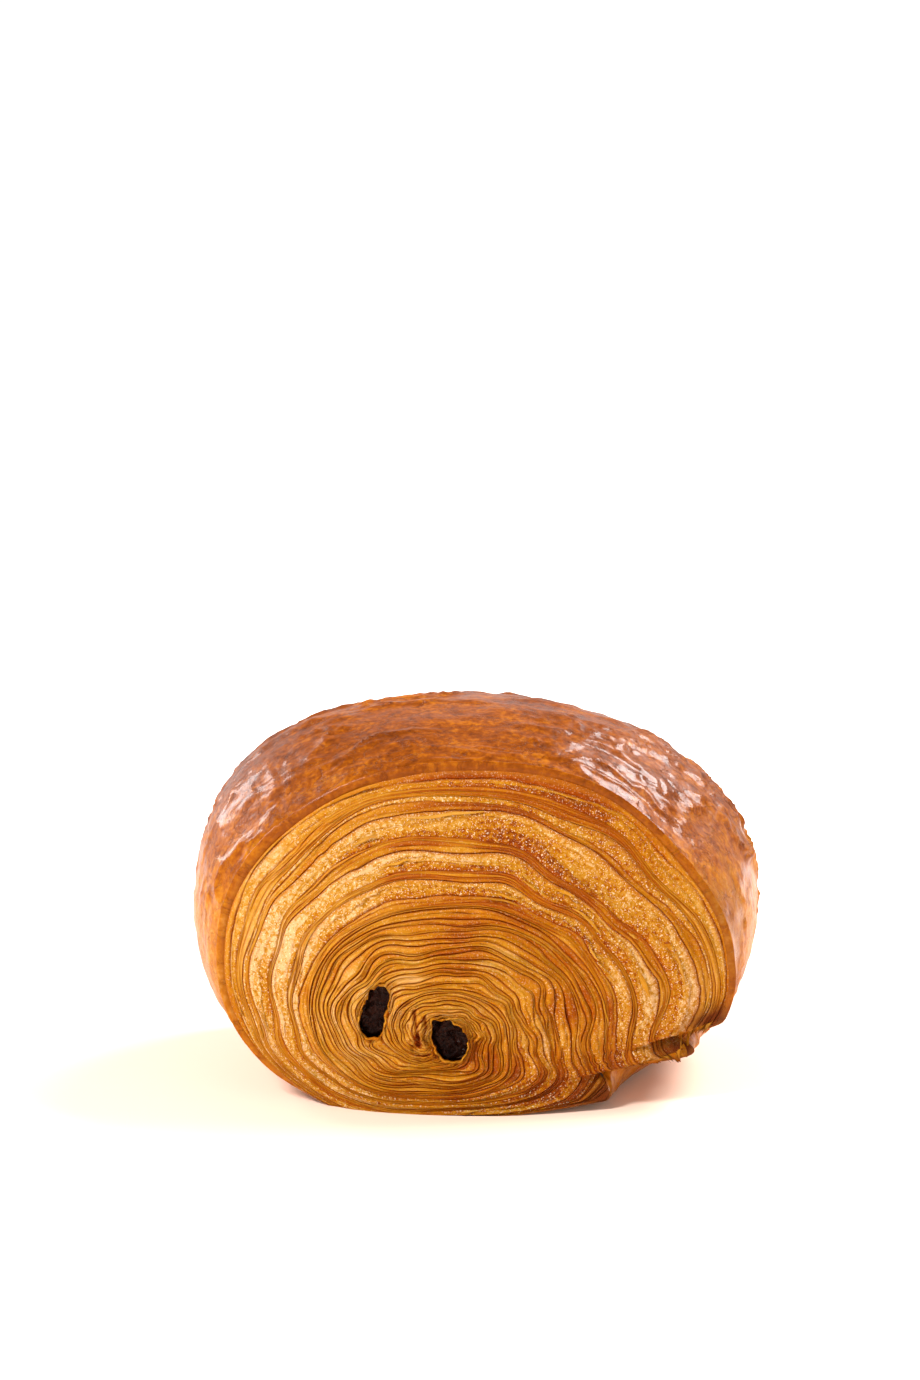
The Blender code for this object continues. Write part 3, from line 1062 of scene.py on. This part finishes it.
def layered_dough():
    look = Look("layered_dough")
    place, strand = look.place(), look.given("strand", vector=True)
    pale, grain, crevice_shade, edge_highlight, burnt_and_shaded = (look.given(word) for word in WORDS[:-1])
    fibres = look.noise(look.stretch(strand, (1.5, 0.1, 1)), 1.0, detail=3, roughness=0.6)
    threads = look.noise(look.stretch(strand, (4.0, 0.16, 1)), 1.0, detail=2, roughness=0.5)
    wander = look.noise(look.stretch(strand, (2.4, 0.045, 2.3)), 1.0, detail=2, roughness=0.5)
    hairs = look.lines(wander, 0.022)
    crumbs = look.noise(place, 1300, detail=3, roughness=0.7)
    specks = look.noise(place, 3600, detail=2, roughness=0.6)
    patches = look.noise(place, 170, detail=3)
    tone = look.varied(pale, (fibres, 0.36), (threads, 0.16), (patches, 0.3))
    speckle = look.product(look.math("SUBTRACT", crumbs), look.product(grain, 2.0))
    tone = look.math("ADD", tone, speckle, clamp=True)
    colour = look.ramp(tone, [
        (0.0, "6C2A00"), (0.2, "8A4200"), (0.4, "A06002"),
        (0.6, "AC7418"), (0.8, "B68438"), (1.0, "C8A26E"),
    ])
    colour = look.painted(
        colour,
        (look.product(hairs, look.span(grain, 0.2, 0.8, 0.4, 0.1)), "823600"),
        # painted highlight on the strata's lips and on lifted flake ends
        (look.product(edge_highlight, 0.5), "BE8028"),
        # painted shade in the crevices and creases
        (look.product(crevice_shade, 0.95), "963A00"),
        # painted glints: small pale specks on the grain
        (look.product(look.span(specks, 0.58, 0.66), grain, 0.6), "F2DCB8"),
        # baked tips and smeared chocolate, and painted shade deep in the wells
        (burnt_and_shaded, "5E2A0C"),
    )
    height = look.total(
        look.product(crumbs, grain), look.product(fibres, 0.35), look.product(threads, 0.3),
        look.product(specks, grain, 0.5),
    )
    return look.finish(
        Base_Color=colour,
        Roughness=look.span(tone, 0.1, 0.8, 0.42, 0.65),
        Subsurface_Weight=0.1,
        Subsurface_Radius=(0.0018, 0.0009, 0.0003),
        Subsurface_Scale=1.0,
        Specular_IOR_Level=0.04,
        Normal=look.bump(height, 0.4),
    )


def glazed_crust():
    look = Look("glazed_crust")
    place, strand = look.place(), look.given("strand", vector=True)
    under, burnt_and_shaded, rim, top = (look.given(word) for word in ("under", "burnt_and_shaded", "rim", "top"))
    streaks = look.noise(look.stretch(strand, (0.7, 0.07, 1)), 1.0, detail=5, roughness=0.65)
    mottle = look.noise(place, 70, detail=5, roughness=0.65)
    blots = look.noise(place, 300, detail=4, roughness=0.65)
    fine = look.noise(place, 1100, detail=3, roughness=0.6)
    tone = look.total(look.product(streaks, 0.1), look.product(mottle, 0.44))
    tone = look.varied(tone, (blots, 0.42), (fine, 0.45))
    # darker towards the top and paler down the sides: partly real browning, partly painted shade
    tone = look.math("ADD", tone, look.span(top, 0.0, 0.9, 0.29, 0.08), clamp=True)
    colour = look.ramp(tone, [
        (0.22, "582400"), (0.37, "7C3A00"), (0.47, "965002"), (0.6, "AC680A"), (0.76, "C48C40"),
    ])
    creased = look.stretch(strand, (0.26, 0.16, 1))
    wrinkles = look.noise(creased, 1.0, detail=6, roughness=0.62, distortion=0.4)
    creases = look.lines(wrinkles, 0.016)
    colour = look.painted(
        colour,
        # painted shade in the groove along the rim
        (look.product(rim, 0.7), "7A3C00"),
        (under, "86460C"),
        # baked tips, and painted shade on the right flank and between its folds
        (burnt_and_shaded, "4E220A"),
        (look.product(creases, 0.2), "6A2A00"),
    )
    first = look.bump(look.total(wrinkles, look.product(creases, 0.35)), 0.24)
    return look.finish(
        Base_Color=colour,
        Roughness=look.span(blots, 0.3, 0.7, 0.28, 0.42),
        Specular_IOR_Level=0.05,
        Coat_Weight=look.span(mottle, 0.35, 0.65, 0.15, 0.08),
        Coat_Roughness=0.1,
        Subsurface_Weight=0.05,
        Subsurface_Radius=(0.0015, 0.0006, 0.0002),
        Subsurface_Scale=1.0,
        Normal=look.bump(fine, 0.08, under=first),
    )


def dark_chocolate():
    look = Look("dark_chocolate")
    place = look.place()
    lumps = look.noise(place, 900, detail=4, roughness=0.7)
    specks = look.noise(place, 2600, detail=2, roughness=0.6)
    colour = look.ramp(lumps, [(0.3, "200C05"), (0.55, "34170C"), (0.8, "582F1E")])
    height = look.total(lumps, look.product(specks, 0.5))
    return look.finish(
        Base_Color=colour,
        Roughness=look.span(lumps, 0.3, 0.7, 0.25, 0.5),
        Specular_IOR_Level=0.35,
        Normal=look.bump(height, 0.6),
    )


def floor_look():
    look = Look("pale_floor")
    away = look.node("ShaderNodeVectorMath", {0: look.place()}, operation="LENGTH").outputs["Value"]
    # painted light and shade: a warm tinted shadow and glow round the pastry, as if bounced from it
    painted_bounce = look.span(away, 0.06, 0.4, 1.0, 0.0)
    grain = look.noise(look.place(), 400, detail=2)
    colour = look.mix(painted_bounce, (1, 1, 1, 1), linear("F0D2BE"))
    # further away the floor glows more, so that it fades into the white sky
    far = look.span(away, 0.8, 3.0, 0.0, 0.6)
    return look.finish(
        Base_Color=look.painted(colour, (look.product(grain, 0.03), "F4EFE8")),
        Roughness=0.7,
        # painted light: the floor glows warm near the pastry
        Emission_Color=look.mix(painted_bounce, (1, 1, 1, 1), linear("FFDFC0")),
        Emission_Strength=look.total(look.product(painted_bounce, 0.06), far),
    )


# The stage


def make_stage():
    bpy.ops.mesh.primitive_plane_add(size=12, location=(0, 0, 0))
    floor = bpy.context.object
    floor.name = "floor"
    floor.data.materials.append(floor_look())


def soft_light(name, place, size, power):
    data = bpy.data.lights.new(name, "AREA")
    data.shape = "RECTANGLE"
    data.size, data.size_y = size
    data.energy = power
    made = bpy.data.objects.new(name, data)
    made.location = place
    aim = Vector((0, 0, 0.03)) - Vector(place)
    made.rotation_euler = aim.to_track_quat("-Z", "Y").to_euler()
    bpy.context.scene.collection.objects.link(made)


# Two heights in the sky, and its strength at each
OVERHEAD = (0.32, 0.8, 1.06, 0.4)


def make_lights():
    world = bpy.data.worlds.new("studio")
    world.use_nodes = True
    nodes, links = world.node_tree.nodes, world.node_tree.links
    nodes["Background"].inputs["Color"].default_value = (1, 1, 1, 1)
    ways = nodes.new("ShaderNodeTexCoord")
    split = nodes.new("ShaderNodeSeparateXYZ")
    overhead = nodes.new("ShaderNodeMapRange")
    for word, number in zip(RANGE_WORDS, OVERHEAD):
        overhead.inputs[word].default_value = number
    links.new(ways.outputs["Generated"], split.inputs["Vector"])
    links.new(split.outputs["Z"], overhead.inputs["Value"])
    links.new(overhead.outputs["Result"], nodes["Background"].inputs["Strength"])
    bpy.context.scene.world = world
    soft_light("left", (-0.65, -0.7, 0.85), (0.34, 0.34), 20)
    soft_light("right_back", (0.6, 0.5, 0.82), (0.55, 0.4), 24)
    soft_light("left_back", (-0.75, 0.7, 0.45), (0.2, 0.4), 5)


# The camera, where the photograph was taken from. Its focal length and horizon are in pixels.
FRAME_HEIGHT = 1380
FOCAL_LENGTH = 3348
HORIZON = 350
SENSOR = 36
CAMERA_AZIMUTH = radians(4)
CAMERA_DISTANCE = 597
CAMERA_HEIGHT = 127.6
CAMERA_ASIDE = 2.85
CAMERA_PITCH = atan((FRAME_HEIGHT / 2 - HORIZON) / FOCAL_LENGTH)


def make_camera():
    data = bpy.data.cameras.new("camera")
    data.lens = SENSOR * FOCAL_LENGTH / FRAME_HEIGHT
    data.sensor_width = SENSOR
    data.clip_start, data.clip_end = 0.01, 50
    made = bpy.data.objects.new("camera", data)
    s, c = sin(CAMERA_AZIMUTH), cos(CAMERA_AZIMUTH)
    x = s * CAMERA_DISTANCE - c * CAMERA_ASIDE
    y = -c * CAMERA_DISTANCE - s * CAMERA_ASIDE
    made.location = Vector((x, y, CAMERA_HEIGHT)) * MM
    made.rotation_euler = (pi / 2 - CAMERA_PITCH, 0, CAMERA_AZIMUTH)
    bpy.context.scene.collection.objects.link(made)
    bpy.context.scene.camera = made


def place_piece(piece, slot, *nodes):
    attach(piece, "root")
    if nodes:
        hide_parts(*nodes)


# The turns of the sheet in each piece, with their columns at the front, and the share of them at the back
TURNS = {
    "outer_layers": ((0, 560),),
    "middle_layers": ((1, 420),),
    "inner_layers": ((2, 280), (3, 150)),
}
BACK_DETAIL = 0.6
FLAKES = 110
FLAKE_SEED = 3
RAGGED_SEED = 9
CRUST_COLUMNS = 520
CRUST_ROWS = 160


def main():
    bpy.context.scene.view_settings.view_transform = "Standard"
    dough, crust_look, chocolate = layered_dough(), glazed_crust(), dark_chocolate()
    for side, mirrored, detail in (("front", False, 1.0), ("back", True, BACK_DETAIL)):
        meshes = []
        for name, turns in TURNS.items():
            turns = [(number, int(columns * detail)) for number, columns in turns]
            meshes.append(ribbon_mesh(f"{name}_{side}", turns, dough, mirrored, SHEET_SEED))
            place_piece(meshes[-1], "baked_dough", "pastry")
        outward = 1 if mirrored else -1
        for bar_name, bar in BARS.items():
            well = well_mesh(f"{bar_name}_well_{side}", bar, meshes[1:], dough, outward)
            place_piece(well, "baked_dough", "pastry")
        flakes = flake_mesh(f"loose_flakes_{side}", int(FLAKES * detail), dough, mirrored, FLAKE_SEED)
        place_piece(flakes, "baked_dough", "pastry")
        ragged = ragged_mesh(f"ragged_ends_{side}", dough, mirrored, RAGGED_SEED)
        place_piece(ragged, "baked_dough", "pastry")
    crust = crust_mesh("glazed_crust", CRUST_COLUMNS, CRUST_ROWS, crust_look)
    place_piece(crust, "baked_dough", "pastry")
    for name, bar in BARS.items():
        place_piece(bar_mesh(name, bar, chocolate), "dark_chocolate", name)
    make_stage()
    make_lights()
    make_camera()


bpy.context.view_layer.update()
main()
